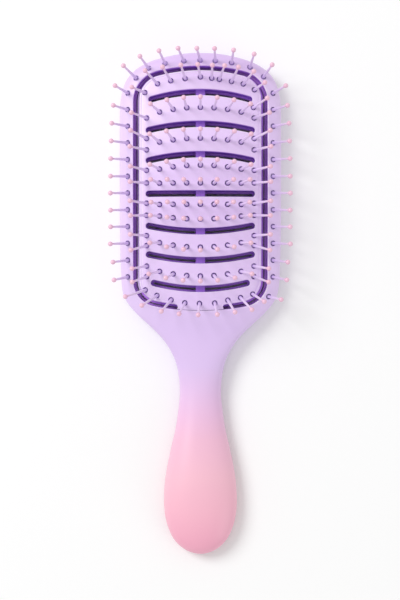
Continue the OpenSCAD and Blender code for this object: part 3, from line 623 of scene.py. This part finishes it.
# Each vent: its place along the panel, its arch and its reach, as shares of the panel's length and half width
VENTS = [(0.9055, 0.1235, 0.851), (0.7695, 0.1035, 0.8915), (0.6404, 0.1035, 0.8915), (0.4749, 0, 0.8915),
         (0.3154, -0.1035, 0.8915), (0.1928, -0.11, 0.8915), (0.0722, -0.11, 0.811)]


def vent_mid(v, x):
    h, arch, reach = v
    return place(h) - arch * PANEL_W * min(1, abs(x) / (reach * PANEL_W)) ** 2


def vent(v):
    """A vent's anticlockwise outline."""
    reach, width = v[2] * PANEL_W, VENT_W
    run = reach - width / 2
    slope = [math.atan(-2 * v[1] * PANEL_W * x / reach ** 2) for x in (-run, run)]
    xs = [run * (2 * k / 40 - 1) for k in range(1, 40)]
    side = [(x, vent_mid(v, x), math.atan(-2 * v[1] * PANEL_W * x / reach ** 2)) for x in xs]
    low = [(x + width / 2 * math.sin(a), y - width / 2 * math.cos(a)) for x, y, a in side]
    high = [(x - width / 2 * math.sin(a), y + width / 2 * math.cos(a)) for x, y, a in side]
    left, right = (math.degrees(a) for a in slope)
    return (low + arc(run, vent_mid(v, run), width / 2, right - 90, right + 90, 16) + high[::-1]
            + arc(-run, vent_mid(v, run), width / 2, left + 90, left + 270, 16))


# The round ends of the slot on each side of the bridge
SLOT_R = ENDS / 2
SLOT_Y = (PANEL_LOW + SEAM) / 2 + BRIDGE ** 2 / (3.5 * (WINDOW_W + PANEL_W))


def seam_y(x):
    return SEAM + LOW_R - math.sqrt(LOW_R ** 2 - x * x)


def panel_edge():
    """Outline of the panel with its bridge, and the share of the full rounding at each point."""
    n = 20
    tip = math.degrees(math.acos(1 - FOOT_GAP / SLOT_R))
    left = arc(-BRIDGE, SLOT_Y, SLOT_R, 90, tip - 90, n)
    foot = [(x, seam_y(x) + FOOT_GAP) for x in (left[-1][0] * (1 - k / 14) for k in range(1, 28))]
    ring = even(PANEL_EDGE, 2)
    start = next(k for k, (x, y) in enumerate(ring) if y < 0 and x > BRIDGE + 0.4)
    ring = ring[start:] + ring[:start]
    ring = [p for p in ring if not (p[1] < 2 and abs(p[0]) < BRIDGE + 0.4)]
    points = ring + left + foot + [(-x, y) for x, y in reversed(left)]
    shares = ([1.0] * len(ring) + [1 - (1 - FAINT) * k / n for k in range(n + 1)] + [FAINT] * len(foot)
              + [FAINT + (1 - FAINT) * k / n for k in range(n + 1)])
    return points, shares


def filled(outer, inner, step):
    """Triangles between an outer outline and some inner ones, over a grid of points."""
    verts, edges = [], []
    for ring in [outer] + inner:
        base = len(verts)
        verts += [Vector(p) for p in ring]
        edges += [(base + k, base + (k + 1) % len(ring)) for k in range(len(ring))]
    rims = len(verts)
    for i in range(-20, 21):
        for j in range(-5, 60):
            verts.append(Vector((i * step + 0.05, j * step + 0.03)))
    far = [v for k, v in enumerate(verts)
           if k < rims or all((v - w).length > 0.45 * step for w in verts[:rims])]
    verts, _, faces, _, _, _ = delaunay_2d_cdt(far, edges, [], 1, 1e-6)

    def within(p, ring):
        inside = False
        for (x0, y0), (x1, y1) in zip(ring, ring[1:] + ring[:1]):
            if (y0 > p[1]) != (y1 > p[1]) and p[0] < x0 + (p[1] - y0) * (x1 - x0) / (y1 - y0):
                inside = not inside
        return inside

    kept = []
    for f in faces:
        c = sum((verts[k] for k in f), Vector((0, 0))) / len(f)
        if within(c, outer) and not any(within(c, r) for r in inner):
            kept.append(f)
    return [tuple(v) for v in verts], kept


def panel_mesh():
    """The flexing skin, with its outer edge and the vents' edges rounded."""
    outer, shares = panel_edge()
    vents = [vent(v) for v in VENTS]
    # The outer edge: how far in, and how far down. Its last three points are a fine groove
    profile = [(0.0, 0.55), (0.03, 0.36), (0.1, 0.22), (0.2, 0.11), (0.34, 0.04), (0.5, 0.006), (0.62, 0.0),
               (1.02, 0.0), (1.17, 0.08), (1.32, 0.0)]
    bm = bmesh.new()

    def ring(points, heights):
        return [bm.verts.new((x * MM, y * MM, z * MM)) for (x, y), z in zip(points, heights)]

    def wall(rings):
        for a, b in zip(rings, rings[1:]):
            for k in range(len(a)):
                m = (k + 1) % len(a)
                bm.faces.new((a[k], a[m], b[m], b[k]))

    rings = [ring(outer, [SKIN_LOW] * len(outer))]
    for inset, drop in profile:
        points = grown(outer, -inset, shares)
        rings.append(ring(points, [crown_at(x, y) - drop * f for (x, y), f in zip(points, shares)]))
    wall(rings)
    bottoms, tops, edge_points = [rings[0]], [rings[-1]], [points]
    for v in vents:
        ones = [1.0] * len(v)
        rings = [ring(v, [SKIN_LOW] * len(v))]
        for spread, drop in ROUND:
            points = grown(v, VENT_ROUND * spread, ones)
            rings.append(ring(points, [crown_at(x, y) - VENT_ROUND * drop for x, y in points]))
        wall(rings[::-1])
        bottoms.append(rings[0])
        tops.append(rings[-1])
        edge_points.append(points)
    for rims, flats, up in ((tops, edge_points, True), (bottoms, [outer] + vents, False)):
        verts, faces = filled(flats[0], flats[1:], 3.0)
        known = [v for r in rims for v in r]
        made = known + [bm.verts.new((x * MM, y * MM, (crown_at(x, y) if up else SKIN_LOW) * MM))
                        for x, y in verts[len(known):]]
        for f in faces:
            bm.faces.new([made[k] for k in (f if up else reversed(f))])
    bmesh.ops.recalc_face_normals(bm, faces=bm.faces)
    mesh = bpy.data.meshes.new("skin")
    bm.to_mesh(mesh)
    bm.free()
    return mesh


def rods(ends, sides=28):
    """Closed cylinders as one mesh's vertices and faces: each has two ends and a radius at each."""
    verts, faces = [], []
    for a, b, ra, rb in ends:
        d = (b - a).normalized()
        u = d.orthogonal().normalized()
        v = d.cross(u)
        base = len(verts)
        for p, r in ((a, ra), (b, rb)):
            verts += [tuple((p + r * (math.cos(t) * u + math.sin(t) * v)) * MM)
                      for t in (2 * math.pi * k / sides for k in range(sides))]
        faces += [(base + k, base + (k + 1) % sides, base + sides + (k + 1) % sides, base + sides + k)
                  for k in range(sides)]
        faces += [tuple(base + k for k in reversed(range(sides))), tuple(base + sides + k for k in range(sides))]
    return verts, faces


def prism(outline, low, high):
    n = len(outline)
    verts = [(x * MM, y * MM, z * MM) for z in (low, high) for x, y in outline]
    faces = [(k, (k + 1) % n, n + (k + 1) % n, n + k) for k in range(n)]
    faces += [tuple(reversed(range(n))), tuple(range(n, 2 * n))]
    return verts, faces


def block(x0, x1, y0, y1, z0, z1):
    return prism([(x0, y0), (x1, y0), (x1, y1), (x0, y1)], z0, z1)


def cut(mesh, cutters, added=()):
    """A mesh with some closed shapes added and others taken away, as a new mesh."""
    scene = bpy.context.scene.collection
    obj = bpy.data.objects.new("cut", mesh)
    scene.objects.link(obj)
    tools = []
    for verts, faces in list(added) + list(cutters):
        m = bpy.data.meshes.new("tool")
        m.from_pydata(verts, [], faces)
        t = bpy.data.objects.new("tool", m)
        scene.objects.link(t)
        tools.append(t)
        mod = obj.modifiers.new("cut", "BOOLEAN")
        mod.operation = "UNION" if len(tools) <= len(added) else "DIFFERENCE"
        mod.solver, mod.object = "EXACT", t
    bpy.context.view_layer.update()
    done = bpy.data.meshes.new_from_object(obj.evaluated_get(bpy.context.evaluated_depsgraph_get()))
    for o in [obj] + tools:
        m = o.data
        bpy.data.objects.remove(o)
        bpy.data.meshes.remove(m)
    return done


def piece(name, mesh, look, node):
    """A finer mesh in place of a node, on the same body."""
    mesh.name = name
    for p in mesh.polygons:
        p.use_smooth = True
    mesh.set_sharp_from_angle(angle=math.radians(32))
    mesh.materials.clear()
    mesh.materials.append(look)
    obj = bpy.data.objects.new(name, mesh)
    bpy.context.scene.collection.objects.link(obj)
    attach(obj, NODES[node]["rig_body"])
    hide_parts(node)


# The front shell's openings: the window, the pins' holes, two for the bead's seat and one for the leaf
window = even(WINDOW, 2)
window_shares = [1 - (1 - FAINT) * ease((BRIDGE - abs(x)) / 1.5) if y < 0 else 1.0 for x, y in window]
rim_cuts = [flared(window, window_shares, rim_at, 4.0, WINDOW_ROUND), holes(RIM_PINS, 1, 2.1),
            block(-9.6, 9.6, -7.58, -3.98, 4, 12.8), block(-9.6, 9.6, BEAD_Y, -3, 9.65, 12.35),
            block(-2.45, 2.45, -12.2, -3, 4, 9.2)]
piece("front_shell", cut(half_shell("front", True), rim_cuts), SHELL, "frame")
piece("rear_shell", cut(half_shell("back", False), [prism(BACK_WINDOW, BELOW, 6)]), SHELL, "back_shell")

bead = rods([(Vector((-BEAD_L, BEAD_Y, BEAD_Z)), Vector((BEAD_L, BEAD_Y, BEAD_Z)), BEAD_R, BEAD_R)], 40)
stakes = rods([(Vector((x, vent_mid(v, PANEL_W), 6)), Vector((x, vent_mid(v, PANEL_W), 8.6)), STAKE_R, STAKE_R)
               for v in VENTS for x in (-STAKE_X, STAKE_X)])
panel_skin = cut(panel_mesh(), [holes(PANEL_PINS, 0, 3.45)],
                 [block(-BEAD_L, BEAD_L, BEAD_Y, -1.5, 10.1, 11.9), bead, stakes])
piece("panel_skin", panel_skin, PANEL, "panel")

# Studio: a pale table, a key light from the upper left and an even sky
floor_mesh = bpy.data.meshes.new("table_top")
FAR = 4.0
floor_mesh.from_pydata([(-FAR, -FAR, 0), (FAR, -FAR, 0), (FAR, FAR, 0), (-FAR, FAR, 0)], [], [(0, 1, 2, 3)])
floor = bpy.data.objects.new("table_top", floor_mesh)
floor.location.z = -0.1 * MM
bpy.context.scene.collection.objects.link(floor)
fm = Material("table_look", 0.75, Specular_IOR_Level=0.2)
path = fm.add("ShaderNodeLightPath")
seen = fm.math("MAXIMUM", path.outputs["Is Camera Ray"], path.outputs["Is Glossy Ray"])
fm.join(fm.blend(seen, (0.86, 0.86, 0.87, 1), (1.024, 1.036, 1.024, 1)), fm.bsdf.inputs["Base Color"])
floor.data.materials.append(fm.mat)

world = bpy.data.worlds.new("studio")
bpy.context.scene.world = world
world.use_nodes = True
sky = world.node_tree
background = sky.nodes["Background"]
background.inputs[0].default_value = (1.0, 0.99, 1.0, 1)
background.inputs[1].default_value = 0.62
backdrop = sky.nodes.new("ShaderNodeBackground")
backdrop.inputs[0].default_value = (0.99, 0.99, 0.99, 1)
choice = sky.nodes.new("ShaderNodeMixShader")
sky.links.new(sky.nodes.new("ShaderNodeLightPath").outputs["Is Camera Ray"], choice.inputs[0])
sky.links.new(background.outputs[0], choice.inputs[1])
sky.links.new(backdrop.outputs[0], choice.inputs[2])
sky.links.new(choice.outputs[0], sky.nodes["World Output"].inputs[0])


def area(name, place, target, size, watts, colour=(1, 1, 1)):
    light = bpy.data.lights.new(name, "AREA")
    light.shape = "DISK"
    light.size = size
    light.energy = watts
    light.color = colour
    obj = bpy.data.objects.new(name, light)
    obj.location = place
    obj.rotation_euler = (Vector(target) - Vector(place)).to_track_quat("-Z", "Y").to_euler()
    bpy.context.scene.collection.objects.link(obj)


area("key", (-1.4, 0.95, 1.75), (0, 0, 0), 1.2, 28.0, (1.0, 0.985, 1.0))
area("fill", (1.1, -0.8, 0.5), (0, 0, 0), 0.9, 2.0)

# Camera: straight above, 750 mm over a point near the panel's skin. VIEW_H is the height in view there
SIGHT = 750 * MM
VIEW_H = 294 * MM
SENSOR = 36
camera_data = bpy.data.cameras.new("camera")
camera_data.sensor_fit = "VERTICAL"
camera_data.sensor_height = SENSOR
camera_data.lens = SENSOR * SIGHT / VIEW_H
camera_data.clip_start = 0.01
camera_data.clip_end = 20
camera = bpy.data.objects.new("camera", camera_data)
camera.location = (-0.2 * MM, 2 * MM, 15 * MM + SIGHT)
bpy.context.scene.collection.objects.link(camera)
bpy.context.scene.camera = camera
bpy.context.scene.view_settings.view_transform = "Standard"
